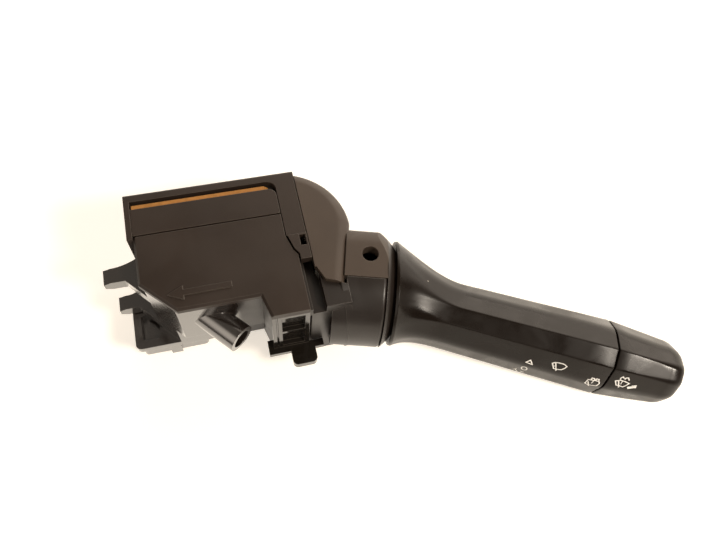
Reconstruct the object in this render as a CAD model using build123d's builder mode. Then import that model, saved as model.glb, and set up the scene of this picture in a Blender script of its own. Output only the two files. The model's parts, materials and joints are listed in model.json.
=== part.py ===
"""Column stalk switch: a slide-in switch box with a neck, a two-axis lever and a turning end knob.

Frame: millimetres, +Z towards the driver and out of the cover plate, +X along the box towards the
lever, +Y upwards in the car. The origin lies on the swing axis, in the underside of the box.
"""
from build123d import *
from math import atan2, cos, degrees, radians, sin, sqrt
import os

# ---------------------------------------------------------------- driving dimensions
case_height = 40.0        # underside of the box to the face of its covers
case_wall = 2.2
floor_t = 2.4
cover_t = 2.6
fit_gap = 0.15            # between moulded pieces that stay together
run_gap = 0.3             # between moulded pieces that move past each other
pin_gap = 0.06            # radial clearance of a bearing

left_x = -62.0            # inner end of the box
right_x = 2.5             # plane where the neck leaves the box
back_y = 36.0             # long side behind the circuit board
front_y = -5.3            # front wall, upper part
low_front_y = -2.0        # front wall, undercut lower part
undercut_z = 14.0
step_x = -26.0            # where the front steps out to the latch tower
tower_y = -11.0           # wall behind the latch
tower_right_x = -10.8
shoulder_y = -13.5        # front of the block beside the neck
chamfer_x = 8.9           # cut-off inner corner, along X
chamfer_y = 10.2          # and along Y
ear_x = -7.0
ear_back_y = 39.0
ear_bulge = (4.2, 30.5)   # point that the ear's round back passes through
ear_end = (8.6, 16.0)
ear_skirt = 8.0           # depth of the pivot housing's wall
ear_front = ((1.9, -6.9), (-4.6, -4.4), (-6.6, 0.5))
ear_round = 4.5

neck_angle = -16.0        # neck axis, about Z from +X
neck_inset = 0.5          # box's half depth to the neck's radius
neck_wall = 3.0
neck_reach = 17.5         # swing axis to the end of the neck
neck_root = 3.0           # where the pad starts, under the ear
neck_flange = 0.4         # lip of the flange round the neck's root
neck_edge = 1.4           # rounding of the neck's end
closure_t = 2.0           # ball-shaped closure of the neck
spigot_t = 1.4            # its spigot in the neck's bore
spigot_reach = 3.0
ball_gap = 0.8            # between the closure and the flare
mouth_gap = 3.1           # axial gap seen between neck and flare

pad_side = 3.4            # front edge of the flat pad, beside the neck axis
pad_drop = 0.8            # pad's face below the covers' face
pad_flat = 9.0
pad_angle = 60.0          # from the top of the neck to the pad's back edge
pad_hole_r = 2.8
pad_hole = (11.3, 5.2)    # along the neck axis and beside it

swing_down = 6.0          # degrees from rest, single wipe
swing_up = 20.0           # degrees from rest, fastest speed
swing_steps = 3           # resting places above rest
pull_travel = 6.5         # degrees

shaft_r = 5.5
hub_r = 7.5
hub_half = 6.5
pull_pin_r = 2.0
trunnion_r = 3.0
bush_wall = 1.0
boss_wall = 1.4
cheek_t = 2.2
yoke_top_half = 8.0
yoke_bottom_half = 6.0
yoke_barrel_end = 20.0
cheek_ahead = 6.0
cheek_behind = 7.0
yoke_top = (9.5, 11.5)    # heights of the yoke's top bridge over the lever axis
yoke_bottom = (-13.5, -11.0)
core_reach = 34.0         # swing axis to the outer end of the inner shaft
tail_reach = 19.5
tail_r = 2.0
tail_ball_r = 2.6

plunger_r = 1.8
plunger_nose = 2.0
plunger_back = 15.0
plunger_stroke = 0.8
detent_wire = 0.4
plunger_drop = 12.0       # plunger's line below the lever axis
barrel_r = 3.2
cam_r = 22.5              # ridge radius of the detent cam
cam_t = 4.5
cam_height = 3.6
notch_depth = 1.0

board_y = 33.2            # inner face of the circuit board
board_t = 1.6
board_right_x = -16.5
board_bottom = 4.0
board_drop = 0.7          # board edge below the covers' face

arm_tip = (-6.0, 25.0)    # peg that drives the speed slider
arm_t = 2.2
peg_r = 2.0
slider_rise = (2.5, 9.0)  # speed slider over the lever axis
slider_x = (-44.0, -3.9)
slider_t = 4.4
fork_t = 1.6
fork_reach = 5.8
brush_t = 0.4

wash_plate_t = 1.7
wash_guide_y = (27.0, 29.0)
wash_travel = 2.4
rib_t = 1.4
wash_column_x = (-27.5, -20.5)
wash_spring_at = (-24.0, 20.0)
wash_spring_r = 2.6
spring_wire = 0.5
spring_turns = 6

stem_offset = 8.0         # along the neck axis, where the stem's own axis starts
stem_bend = -12.0         # stem axis from the neck axis, degrees about Z
stem_split = 91.5         # stem axis origin to the seam of the knob
stem_tip = 116.5
stem_start = 15.0
seam_gap = 0.6
flare_inset = 0.9         # flare's radius inside the neck's
flare_lip = 1.0
flare_scale = 0.88         # stalk's section at its start against the seam
flare_stations = ((21.6, 1.0), (26.5, 0.62), (32.0, 0.32), (38.0, 0.12), (45.0, 0.0))
core_room = 42.0
hollow_share = 0.76       # inside of the stalk against its outside
end_wall = 6.5
knob_stations = ((6.0, 0.87), (3.4, 0.83), (1.5, 0.76), (0.4, 0.66), (0.0, 0.56))
spindle_grip = 9.0
disc_t = 1.6
knob_wall = 2.4
bearing_r = 6.2
bearing_t = 2.4
spindle_r = 3.6

tongue_reach = 13.5       # slide tongues, out of the inner end of the box
tongue_y = (12.3, 17.8)
tongue_t = 4.5
tongue_tops = (30.0, 8.0)
tongue_root_y = 21.5
tongue_lead = (2.4, 0.95)

flange_t = 2.8            # base flange with its window
flange_reach = 10.0
flange_right_x = -45.0
flange_back_y = 21.0
flange_round = 2.0
flange_window = (6.4, 10.0)
window_center_y = 6.0
socket_depth = 9.0
socket_wall = 1.8
socket_x = (-71.0, -47.0)
socket_y = (0.0, 19.0)
terminal_count = 4
terminal_from = 12.8      # first blade, from the socket's end
terminal_pitch = 2.8
terminal_w = 1.5
terminal_t = 0.8

barrel_boss_r = 5.0
barrel_boss_bore = 3.4
barrel_boss_z = 25.0
barrel_boss_at = (-45.0, -1.8)
barrel_boss_length = 16.0

channel_x = (-10.4, -5.9)
channel_back_y = 6.0
channel_depth = 6.0
channel_wall = 1.2
shoulder_drop = 2.0       # shoulder's roof below the covers' face

latch_front_y = -14.2
latch_x = (-24.0, -11.5)
ledge_y = -16.4
ledge_z = (8.2, 10.4)
ledge_x = (-26.0, -6.5)
tab_x = (-18.4, -9.7)
tab_y = -21.8
cell_rib = 1.6
cell_depth = 1.7

seam_y = 22.5             # dark joint between the arrow cover and the board cover
cover_left = 1.0          # overhang of the covers past the box
arrow_tip_x = -54.5
arrow_head = 5.0
arrow_tail_x = -34.3
arrow_y = -0.6
arrow_rise = 0.45

shell_y = 39.2
shell_t = 2.0
guide_t = 1.2             # lip in front of the speed slider
keeper_x = (-40.0, -32.0) # rib that holds the speed slider down
shell_lip = 3.2
arm_x = (-14.0, -7.3)
snap_y = (3.8, 13.4)
snap_rise = 0.6
window_x = (-9.9, -7.9)
window_y = (8.8, 12.8)

# ---------------------------------------------------------------- derived places
cover_z = case_height - cover_t
axis_height = case_height / 2
channel_floor = case_height - channel_depth
shoulder_top = case_height - shoulder_drop
pad_height = case_height - pad_drop
neck_r = axis_height - neck_inset
flare_r = neck_r - flare_inset
plunger_height = axis_height - plunger_drop
slider_z = [axis_height + rise for rise in slider_rise]
wash_plate_z = axis_height - tail_ball_r - run_gap - wash_plate_t
neck_axis = Vector(cos(radians(neck_angle)), sin(radians(neck_angle)), 0)
neck_side = Vector(-sin(radians(neck_angle)), cos(radians(neck_angle)), 0)
pivot = Vector(0, 0, axis_height)
neck_plane = Plane(origin=pivot, x_dir=neck_side, z_dir=neck_axis)
plan_at_axis = Plane(origin=pivot, x_dir=neck_axis, z_dir=(0, 0, 1))
side_plane = Plane(origin=pivot, x_dir=neck_axis, z_dir=neck_side * -1)
stem_axis = neck_axis.rotate(Axis.Z, stem_bend)
stem_side = neck_side.rotate(Axis.Z, stem_bend)
stem_origin = pivot + neck_axis * stem_offset
stem_plane = Plane(origin=stem_origin, x_dir=stem_side, z_dir=stem_axis)
ball_r = sqrt(neck_r**2 + neck_reach**2)
cup_r = ball_r + ball_gap
cup_floor = sqrt(cup_r**2 - shaft_r**2)
bore_r = neck_r - neck_wall
bush_r = trunnion_r + bush_wall
trunnion_ends = (floor_t + run_gap, cover_z - run_gap)
boss_r = bush_r + boss_wall
yoke_roof = axis_height + yoke_top[1]
yoke_sole = axis_height + yoke_bottom[0]
cheek_outer = hub_half + run_gap + cheek_t
chamfer_run = chamfer_x / chamfer_y
board_front = board_y + board_t
slider_front = board_y - run_gap - brush_t
tongue_tip_x = left_x - tongue_reach

os.makedirs("parts", exist_ok=True)


def save(builder, name):
    """Label a finished piece and write its STEP file."""
    builder.part.label = name
    export_step(builder.part, f"parts/{name}.step")


def chamfer_at(y):
    """X of the cut-off corner's face at a given Y."""
    return left_x + (front_y + chamfer_y - y) * chamfer_run


def ear_line():
    """Back outline of the ear, from the shell round to the neck."""
    return ThreePointArc((ear_x, ear_back_y), ear_bulge, ear_end)


def box_plan(front):
    """Plan of the switch box with its front wall at the given Y."""
    with BuildSketch() as plan:
        with BuildLine():
            Polyline(
                (ear_x, ear_back_y),
                (ear_x, back_y),
                (left_x, back_y),
                (left_x, front_y + chamfer_y),
                (chamfer_at(front), front),
                (step_x, front),
                (step_x + case_wall, tower_y),
                (tower_right_x, tower_y),
                (tower_right_x, shoulder_y),
                (right_x, shoulder_y),
                (right_x, ear_end[1]),
                ear_end,
            )
            ear_line()
        make_face()
    return plan.sketch


def ear_plan():
    """Plan of the ear over the pivot."""
    with BuildSketch() as plan:
        with BuildLine():
            ear_line()
            Polyline(ear_end, *ear_front, (ear_x, ear_front[-1][1]), (ear_x, ear_back_y))
        make_face()
        fillet(plan.vertices().sort_by_distance(ear_end)[0], ear_round)
    return plan.sketch


def block(x, y, z, mode=Mode.ADD):
    """Solid between two corners, given as spans along X, Y and Z."""
    with Locations(((x[0] + x[1]) / 2, (y[0] + y[1]) / 2, (z[0] + z[1]) / 2)):
        Box(x[1] - x[0], y[1] - y[0], z[1] - z[0], mode=mode)


def post(at, radius, z, mode=Mode.ADD):
    """Upright cylinder between two heights."""
    with Locations((at[0], at[1], (z[0] + z[1]) / 2)):
        Cylinder(radius, z[1] - z[0], mode=mode)


def along_neck(start, end, radius, mode=Mode.ADD, height=0.0):
    """Cylinder along the neck axis, raised by a height over it."""
    with BuildSketch(neck_plane.offset(start)) as section:
        with Locations((0, height)):
            Circle(radius)
    extrude(section.sketch, amount=end - start, mode=mode)


def box_inside(top, mode=Mode.SUBTRACT):
    """Inside of the switch box, up to a height."""
    for front, base in ((low_front_y, floor_t), (front_y, undercut_z + case_wall)):
        with BuildSketch(Plane.XY.offset(base)) as inside:
            add(box_plan(front))
            offset(amount=-case_wall)
        extrude(inside.sketch, amount=top - base, mode=mode)


def polar(radius, angle):
    """Point at a radius round the swing axis, angle in degrees from +X."""
    return (radius * cos(radians(angle)), radius * sin(radians(angle)))


# ---------------------------------------------------------------- main case
def tongue_plan():
    """Plan of one slide tongue, cut along the box's corner face."""
    inner_x = left_x + case_wall
    corner_y = front_y + chamfer_y - case_wall / chamfer_run
    with BuildSketch() as plan:
        with BuildLine():
            Polyline(
                (tongue_tip_x, tongue_y[1]),
                (tongue_tip_x, tongue_y[0]),
                (chamfer_at(tongue_y[0]), tongue_y[0]),
                (inner_x, corner_y),
                (inner_x, tongue_root_y),
                (left_x, tongue_root_y),
            )
            middle = (left_x - tongue_reach * 0.4, tongue_y[1] + 0.9)
            ThreePointArc((left_x, tongue_root_y), middle, (tongue_tip_x, tongue_y[1]))
        make_face()
    return plan.sketch


def pad_wedge(angle, side, inner, outer):
    """Part of the neck's section under the pad, seen along the neck axis."""
    back = radians(angle)
    with BuildSketch(neck_plane) as wedge:
        with BuildLine():
            Polyline(
                (-side, inner * 0.5),
                (-side, outer),
                (outer, outer),
                (outer, outer * cos(back) / sin(back)),
                (inner * 0.5 * sin(back), inner * 0.5 * cos(back)),
                close=True,
            )
        make_face()
    return wedge.sketch


barrel_plane = Plane(
    origin=(*barrel_boss_at, barrel_boss_z),
    x_dir=(0, 0, 1),
    z_dir=(chamfer_x, -chamfer_y, 0),
)
flange_center_y = right_x * neck_axis.Y / neck_axis.X
terminal_x = [socket_x[0] + terminal_from + terminal_pitch * i for i in range(terminal_count)]
terminal_y = (socket_y[0] + socket_y[1]) / 2

with BuildPart() as main_case:
    with BuildSketch():
        add(box_plan(low_front_y))
    extrude(amount=undercut_z)
    with BuildSketch(Plane.XY.offset(undercut_z)):
        add(box_plan(front_y))
    extrude(amount=cover_z - undercut_z)
    # neck tube, and the flange round its root
    along_neck(0, neck_reach, neck_r)
    neck_rim = main_case.edges().filter_by(GeomType.CIRCLE).sort_by(Axis(pivot, neck_axis))[-1]
    fillet(neck_rim, neck_edge)
    with BuildSketch(Plane.YZ.offset(right_x - case_wall)):
        with Locations((flange_center_y, axis_height)):
            Circle(neck_r + neck_flange)
    extrude(amount=case_wall)
    # diagonal barrel on the front wall
    with BuildSketch(barrel_plane):
        Circle(barrel_boss_r)
    extrude(amount=barrel_boss_length)
    box_inside(case_height)
    along_neck(0, neck_reach, bore_r, Mode.SUBTRACT)
    with BuildSketch(Plane.YZ.offset(right_x - case_wall)):
        with Locations((flange_center_y, axis_height)):
            Circle(bore_r)
    extrude(amount=case_wall, mode=Mode.SUBTRACT)
    with BuildSketch(barrel_plane.offset(barrel_boss_length * 0.4)):
        Circle(barrel_boss_bore)
    extrude(amount=barrel_boss_length, mode=Mode.SUBTRACT)
    # channel beside the latch, walled off from the yoke, and the shoulder's roof
    channel_span = (latch_x[1], right_x)
    block(channel_span, (shoulder_y, channel_back_y + channel_wall), (channel_floor - channel_wall, cover_z))
    block((channel_x[1], right_x), (shoulder_y, channel_back_y), (cover_z, shoulder_top))
    inner_shoulder = (channel_x[1] + channel_wall, right_x - case_wall)
    block(inner_shoulder, (shoulder_y + case_wall, channel_back_y), (floor_t, shoulder_top - case_wall), Mode.SUBTRACT)
    block(channel_x, (shoulder_y - 1, channel_back_y), (channel_floor, case_height), Mode.SUBTRACT)
    # room for the pivot housing
    with BuildSketch(Plane.XY.offset(cover_z - ear_skirt)):
        add(ear_plan())
        offset(amount=fit_gap)
    extrude(amount=case_height, mode=Mode.SUBTRACT)
    wedge = pad_wedge(pad_angle + 1, pad_side + run_gap, bore_r, neck_r + 2)
    extrude(wedge, amount=neck_reach, mode=Mode.SUBTRACT)
    # slide tongues with a moulded joint line and a lead-in at the tip
    for tongue_top in tongue_tops:
        with BuildSketch(Plane.XY.offset(tongue_top - tongue_t)):
            add(tongue_plan())
        extrude(amount=tongue_t)
        tip = main_case.edges().filter_by(Axis.Y).filter_by_position(
            Axis.X, tongue_tip_x - 0.01, tongue_tip_x + 0.01
        ).filter_by_position(Axis.Z, tongue_top - tongue_t - 0.01, tongue_top + 0.01)
        chamfer(tip, tongue_lead[1], tongue_lead[0])
    # base flange with its window over the socket
    block(
        (left_x - flange_reach, flange_right_x),
        (low_front_y, flange_back_y),
        (0, flange_t),
    )
    flange_corner = main_case.edges().filter_by(Axis.Z).filter_by_position(
        Axis.X, left_x - flange_reach - 0.01, left_x - flange_reach + 0.01
    )
    fillet(flange_corner, flange_round)
    with BuildSketch():
        with Locations((left_x - flange_reach / 2 + 0.8, window_center_y)):
            RectangleRounded(flange_window[0], flange_window[1], 1.4)
    extrude(amount=flange_t, mode=Mode.SUBTRACT)
    for x in terminal_x:
        block(
            (x - terminal_w / 2 - fit_gap, x + terminal_w / 2 + fit_gap),
            (terminal_y - fit_gap, terminal_y + terminal_t + fit_gap),
            (0, max(floor_t, flange_t)),
            Mode.SUBTRACT,
        )
    # pivot seat, and the guides of the two sliders
    post((0, 0), boss_r, (0, yoke_sole - run_gap))
    post((0, 0), bush_r, (floor_t, axis_height), Mode.SUBTRACT)
    rail_y = (slider_front - slider_t, back_y - case_wall)
    for span in ((slider_x[0] - 4, wash_column_x[0] - 3), (wash_column_x[1] + 3, slider_x[1] - 1)):
        block(span, rail_y, (floor_t, slider_z[0] - run_gap))
    guide_y = (slider_front - slider_t - run_gap - guide_t, slider_front - slider_t - run_gap)
    block((slider_x[0] - 4, wash_column_x[0] - 3), guide_y, (floor_t, slider_z[1]))
    # slot for the circuit board, open at the inner end
    block(
        (left_x - 1, board_right_x + fit_gap),
        (board_y - fit_gap, board_front + fit_gap),
        (board_bottom - fit_gap, case_height),
        Mode.SUBTRACT,
    )
    for span in (
        (wash_column_x[0] - run_gap - rib_t, wash_column_x[0] - run_gap),
        (wash_column_x[1] + run_gap, wash_column_x[1] + run_gap + rib_t),
    ):
        block(span, (wash_guide_y[0] - 1, wash_guide_y[1] + 1), (floor_t, wash_plate_z - run_gap))
save(main_case, "main_case")


# ---------------------------------------------------------------- pivot housing
with BuildPart() as pivot_housing:
    with BuildSketch(Plane.XY.offset(cover_z - ear_skirt)):
        add(ear_plan())
    extrude(amount=case_height - cover_z + ear_skirt)
    ear_top = pivot_housing.faces().sort_by(Axis.Z)[-1].edges()
    fillet(ear_top.sort_by_distance((*ear_end, case_height))[:3], ear_round)
    with BuildSketch(neck_plane.offset(neck_root)):
        with BuildLine():
            Line((-pad_side, bore_r), (-pad_side, pad_height - axis_height))
            flat = Line((-pad_side, pad_height - axis_height), (pad_flat, pad_height - axis_height))
            shoulder = (neck_r * sin(radians(pad_angle)), neck_r * cos(radians(pad_angle)))
            TangentArc(flat @ 1, shoulder, tangent=flat % 1)
            Polyline(shoulder, (shoulder[0] / 2, shoulder[1] / 2), (-pad_side, bore_r * 0.6), (-pad_side, bore_r))
        make_face()
    extrude(amount=neck_reach - neck_root)
    # the pad's end follows the ball that the lever swings round
    with BuildSketch(side_plane):
        with BuildLine():
            low_end, middle, high_end = [(sqrt(ball_r**2 - r**2), r) for r in (neck_r - 1, neck_r + 2, neck_r + 4)]
            ThreePointArc(low_end, middle, high_end)
            Polyline(high_end, (neck_reach + 4, neck_r + 4), (neck_reach + 4, neck_r - 1), low_end)
        make_face()
    revolve(axis=Axis(pivot, neck_axis), mode=Mode.SUBTRACT)
    along_neck(-neck_r, neck_reach, bore_r, Mode.SUBTRACT)
    with BuildSketch(Plane.XY.offset(cover_z - ear_skirt)):
        add(box_plan(front_y))
        offset(amount=-case_wall)
    extrude(amount=ear_skirt, mode=Mode.SUBTRACT)
    post((0, 0), boss_r, (yoke_roof + run_gap, cover_z + 0.5))
    post((0, 0), bush_r, (axis_height, cover_z), Mode.SUBTRACT)
    hole_at = neck_axis * pad_hole[0] + neck_side * pad_hole[1]
    post((hole_at.X, hole_at.Y), pad_hole_r, (axis_height, case_height), Mode.SUBTRACT)
save(pivot_housing, "pivot_housing")


# ---------------------------------------------------------------- ball-shaped closure of the neck
spigot_r = bore_r - fit_gap
inner_ball = ball_r - closure_t
with BuildPart() as neck_closure:
    with BuildSketch(side_plane):
        with BuildLine():
            mouth = sqrt(inner_ball**2 - (spigot_r - spigot_t) ** 2)
            half = sqrt(0.5)
            ThreePointArc((neck_reach, neck_r), (ball_r * half * 1.1, ball_r * sqrt(1 - 0.605)), (ball_r, 0))
            Line((ball_r, 0), (inner_ball, 0))
            ThreePointArc((inner_ball, 0), (inner_ball * half * 1.2, inner_ball * sqrt(1 - 0.72)), (mouth, spigot_r - spigot_t))
            Polyline(
                (mouth, spigot_r - spigot_t),
                (neck_reach - spigot_reach, spigot_r - spigot_t),
                (neck_reach - spigot_reach, spigot_r),
                (neck_reach, spigot_r),
                (neck_reach, neck_r),
            )
        make_face()
    revolve(axis=Axis(pivot, neck_axis))
    opening_u = (-sin(radians(swing_down)) * ball_r - shaft_r - 0.8, sin(radians(swing_up)) * ball_r + shaft_r + 0.8)
    opening_v = (-shaft_r - 1.5, sin(radians(pull_travel)) * ball_r + shaft_r + 1.5)
    with BuildSketch(neck_plane.offset(neck_reach - 4)):
        with Locations((sum(opening_u) / 2, sum(opening_v) / 2)):
            RectangleRounded(opening_u[1] - opening_u[0], opening_v[1] - opening_v[0], shaft_r)
    extrude(amount=ball_r, mode=Mode.SUBTRACT)
save(neck_closure, "neck_closure")


# ---------------------------------------------------------------- covers and shell
cover_span = (cover_z, case_height)

with BuildPart() as arrow_cover:
    with BuildSketch(Plane.XY.offset(cover_z)):
        with BuildLine():
            Polyline(
                (left_x - cover_left, seam_y - run_gap),
                (left_x - cover_left, front_y + chamfer_y),
                (chamfer_at(front_y - cover_left), front_y - cover_left),
                (step_x, front_y - cover_left),
                (latch_x[0], latch_front_y),
                (latch_x[1], latch_front_y),
                (latch_x[1], channel_back_y),
                (arm_x[0] + 1.2, channel_back_y + 2),
                (arm_x[0] - run_gap, snap_y[1]),
                (arm_x[0] - run_gap, seam_y - run_gap),
                close=True,
            )
        make_face()
    extrude(amount=cover_t)
    outer = arrow_cover.faces().sort_by(Axis.Z)[-1].edges().filter_by_position(
        Axis.Y, latch_front_y - 1, tongue_y[1]
    ).filter_by_position(Axis.X, left_x - 2, latch_x[0])
    chamfer(outer, 0.8)
    with BuildSketch(Plane.XY.offset(case_height)):
        with BuildLine():
            neck_x = arrow_tip_x + arrow_head
            Polyline(
                (arrow_tip_x, arrow_y),
                (neck_x, arrow_y + arrow_head / 2),
                (neck_x, arrow_y + arrow_head / 5),
                (arrow_tail_x, arrow_y + arrow_head / 5),
                (arrow_tail_x, arrow_y - arrow_head / 5),
                (neck_x, arrow_y - arrow_head / 5),
                (neck_x, arrow_y - arrow_head / 2),
                close=True,
            )
        make_face()
    extrude(amount=arrow_rise)
save(arrow_cover, "arrow_cover")

with BuildPart() as board_cover:
    block(
        (left_x - cover_left, arm_x[0] - run_gap),
        (seam_y + run_gap, board_y - run_gap),
        cover_span,
    )
    corner = board_cover.edges().filter_by(Axis.Z).sort_by_distance((arm_x[0], board_y, cover_z))[0]
    fillet(corner, cover_t)
    block(keeper_x, (slider_front - slider_t, slider_front - 1), (slider_z[1] + run_gap, cover_z))
save(board_cover, "board_cover")

with BuildPart() as top_shell:
    block((left_x - cover_left - shell_t, ear_x - fit_gap), (back_y + run_gap, shell_y), (0, case_height))
    block(
        (left_x - cover_left - shell_t, left_x - cover_left - run_gap / 2),
        (seam_y - cover_left, back_y + shell_lip),
        (axis_height, case_height),
    )
    block((left_x - cover_left - shell_t, ear_x - fit_gap), (shell_y - shell_lip, shell_y), cover_span)
    block(arm_x, (snap_y[1], shell_y), cover_span)
    with BuildSketch(Plane.XY.offset(cover_z)):
        with BuildLine():
            Polyline(
                (arm_x[1], snap_y[0]),
                (latch_x[1] + 2 * run_gap, snap_y[0]),
                (latch_x[1] + 2 * run_gap, channel_back_y),
                (arm_x[0] + 1.2 + 2 * run_gap, channel_back_y + 2),
                (arm_x[0] + run_gap, snap_y[1]),
                (arm_x[1], snap_y[1]),
                close=True,
            )
        make_face()
    extrude(amount=cover_t + snap_rise)
    rim = top_shell.edges().filter_by(Axis.X).filter_by_position(Axis.Y, shell_y - 0.01, shell_y + 0.01)
    fillet(rim.sort_by(Axis.Z)[-1], 1.2)
    block(window_x, window_y, (cover_z - 1, case_height + 2), Mode.SUBTRACT)
    inner_corner = top_shell.edges().filter_by(Axis.Z).sort_by_distance(
        (arm_x[0], shell_y - shell_lip, cover_z)
    )[0]
    fillet(inner_corner, shell_lip)
save(top_shell, "top_shell")


# ---------------------------------------------------------------- board and socket
with BuildPart() as circuit_board:
    block(
        (left_x - cover_left + run_gap, board_right_x),
        (board_y, board_front),
        (board_bottom, case_height - board_drop),
    )
    end = circuit_board.edges().filter_by(Axis.Y).sort_by_distance((board_right_x, board_y, case_height))[0]
    chamfer(end, 1.5)
save(circuit_board, "circuit_board")

with BuildPart() as connector_shroud:
    block(socket_x, socket_y, (-socket_depth, 0))
    fillet(connector_shroud.edges().filter_by(Axis.Z), 1.6)
    block(
        (socket_x[0] + socket_wall, socket_x[1] - socket_wall),
        (socket_y[0] + socket_wall, socket_y[1] - socket_wall),
        (-socket_depth, -socket_wall),
        Mode.SUBTRACT,
    )
    for x in terminal_x:
        block(
            (x - terminal_w / 2, x + terminal_w / 2),
            (terminal_y, terminal_y + terminal_t),
            (-socket_wall, 0),
            Mode.SUBTRACT,
        )
    key = (socket_x[0] + socket_x[1]) / 2
    block((key - 2, key + 2), (socket_y[0] - 1.2, socket_y[0]), (-socket_depth, 0))
save(connector_shroud, "connector_shroud")

with BuildPart() as connector_terminals:
    for x in terminal_x:
        width = (x - terminal_w / 2, x + terminal_w / 2)
        block(width, (terminal_y, terminal_y + terminal_t), (1.5 - socket_depth, board_bottom + 2))
        block(width, (terminal_y, board_y), (board_bottom + 2 - terminal_t, board_bottom + 2))
save(connector_terminals, "connector_terminals")


# ---------------------------------------------------------------- latch, cam and bushes
with BuildPart() as release_latch:
    block(latch_x, (latch_front_y, tower_y), (ledge_z[0], cover_z))
    block(ledge_x, (ledge_y, shoulder_y - run_gap), ledge_z)
    block((ledge_x[0], latch_x[1]), (ledge_y, tower_y), ledge_z)
    block(tab_x, (tab_y, ledge_y + 1), (ledge_z[0] - 1, ledge_z[1]))
    nose = release_latch.edges().filter_by(Axis.Z).filter_by_position(Axis.Y, tab_y - 0.01, tab_y + 0.01)
    fillet(nose, 1.8)
    cell_left = latch_x[0] + cell_rib * 2
    cell_right = latch_x[1] - cell_rib
    cell_width = cell_right - cell_left
    cell_height = (cover_z - ledge_z[1] - 3 * cell_rib) / 2
    for level in range(2):
        base = ledge_z[1] + cell_rib + level * (cell_height + cell_rib)
        block(
            (cell_left, cell_right),
            (latch_front_y, latch_front_y + cell_depth),
            (base, base + cell_height),
            Mode.SUBTRACT,
        )
    groove = latch_x[0] + cell_rib
    block((groove - 0.3, groove + 0.3), (latch_front_y, latch_front_y + 0.8), (ledge_z[1], cover_z), Mode.SUBTRACT)
save(release_latch, "release_latch")

detent_step = swing_up / swing_steps
cam_angle = 180 + neck_angle
with BuildPart() as detent_cam:
    with BuildSketch(Plane.XY.offset(floor_t)):
        with BuildLine():
            first = cam_angle - swing_down - detent_step
            last = cam_angle + swing_up + detent_step
            outer_r = cam_r + cam_t
            inner_arc = ThreePointArc(polar(cam_r, first), polar(cam_r, cam_angle), polar(cam_r, last))
            outer_arc = ThreePointArc(polar(outer_r, first), polar(outer_r, cam_angle), polar(outer_r, last))
            Line(inner_arc @ 0, outer_arc @ 0)
            Line(inner_arc @ 1, outer_arc @ 1)
        make_face()
    extrude(amount=plunger_height + cam_height / 2 - floor_t)
    with BuildSketch(Plane.XY.offset(floor_t)):
        add(box_plan(low_front_y))
        offset(amount=-case_wall - fit_gap)
    extrude(amount=case_height, mode=Mode.INTERSECT)
    places = [-swing_down] + [detent_step * i for i in range(swing_steps + 1)]
    with BuildSketch(Plane.XY.offset(plunger_height - cam_height / 2)):
        for place in places:
            with Locations(polar(cam_r, cam_angle + place)):
                Circle(notch_depth)
    extrude(amount=cam_height + 1, mode=Mode.SUBTRACT)
save(detent_cam, "detent_cam")

with BuildPart() as pivot_bushes:
    for ends in ((floor_t, yoke_sole - run_gap), (yoke_roof + run_gap, cover_z)):
        post((0, 0), bush_r, ends)
        post((0, 0), trunnion_r + pin_gap, ends, Mode.SUBTRACT)
save(pivot_bushes, "pivot_bushes")


# ---------------------------------------------------------------- swing yoke and its plunger
def yoke_slab(ahead, behind, half, heights):
    """Flat bridge of the yoke, square to the neck axis."""
    with BuildSketch(plan_at_axis.offset(heights[0])) as slab:
        with Locations(((ahead - behind) / 2, 0)):
            RectangleRounded(ahead + behind, half * 2, 1.5)
    extrude(slab.sketch, amount=heights[1] - heights[0])


with BuildPart() as swing_yoke:
    yoke_slab(cheek_ahead, cheek_behind, yoke_top_half, yoke_top)
    yoke_slab(cheek_ahead, cheek_behind, yoke_bottom_half, yoke_bottom)
    for side in (-1, 1):
        with BuildSketch(plan_at_axis.offset(yoke_bottom[1])):
            with Locations(((cheek_ahead - cheek_behind) / 2, side * (cheek_outer - cheek_t / 2))):
                Rectangle(cheek_ahead + cheek_behind, cheek_t)
        extrude(amount=yoke_top[0] - yoke_bottom[1])
        with BuildSketch(plan_at_axis.offset(yoke_bottom[1])):
            with Locations(((cheek_ahead - cheek_behind) / 2, side * (cheek_outer + yoke_bottom_half) / 2)):
                Rectangle(cheek_ahead + cheek_behind, cheek_outer - yoke_bottom_half + 1)
        extrude(amount=cheek_t)
    along_neck(-yoke_barrel_end, -cheek_behind + 1, barrel_r, height=plunger_height - axis_height)
    along_neck(
        -yoke_barrel_end, -cheek_behind - 1, plunger_r + pin_gap, Mode.SUBTRACT, plunger_height - axis_height
    )
    # arm to the speed slider, with its peg
    tip = Vector(*arm_tip)
    with BuildSketch(Plane.XY.offset(yoke_roof - arm_t)):
        with BuildLine():
            Polyline((-6, 5), (tip.X - peg_r - 1, tip.Y), (tip.X + peg_r + 1, tip.Y), (-1, 5), close=True)
        make_face()
        with Locations(arm_tip):
            Circle(peg_r + 1)
    extrude(amount=arm_t)
    post(arm_tip, peg_r, (slider_z[0] + run_gap, yoke_roof - arm_t))
    for ends in ((trunnion_ends[0], yoke_sole + 1), (yoke_roof - 1, trunnion_ends[1])):
        post((0, 0), trunnion_r, ends)
    with BuildSketch(Plane(origin=pivot, x_dir=neck_axis, z_dir=neck_side)):
        Circle(pull_pin_r)
    extrude(amount=cheek_outer + 1, both=True, mode=Mode.SUBTRACT)
save(swing_yoke, "swing_yoke")

cross_plane = Plane(origin=pivot, x_dir=neck_axis, z_dir=neck_side)
with BuildPart() as pull_pin:
    with BuildSketch(cross_plane):
        Circle(pull_pin_r)
    extrude(amount=cheek_outer, both=True)
save(pull_pin, "pull_pin")

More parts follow.
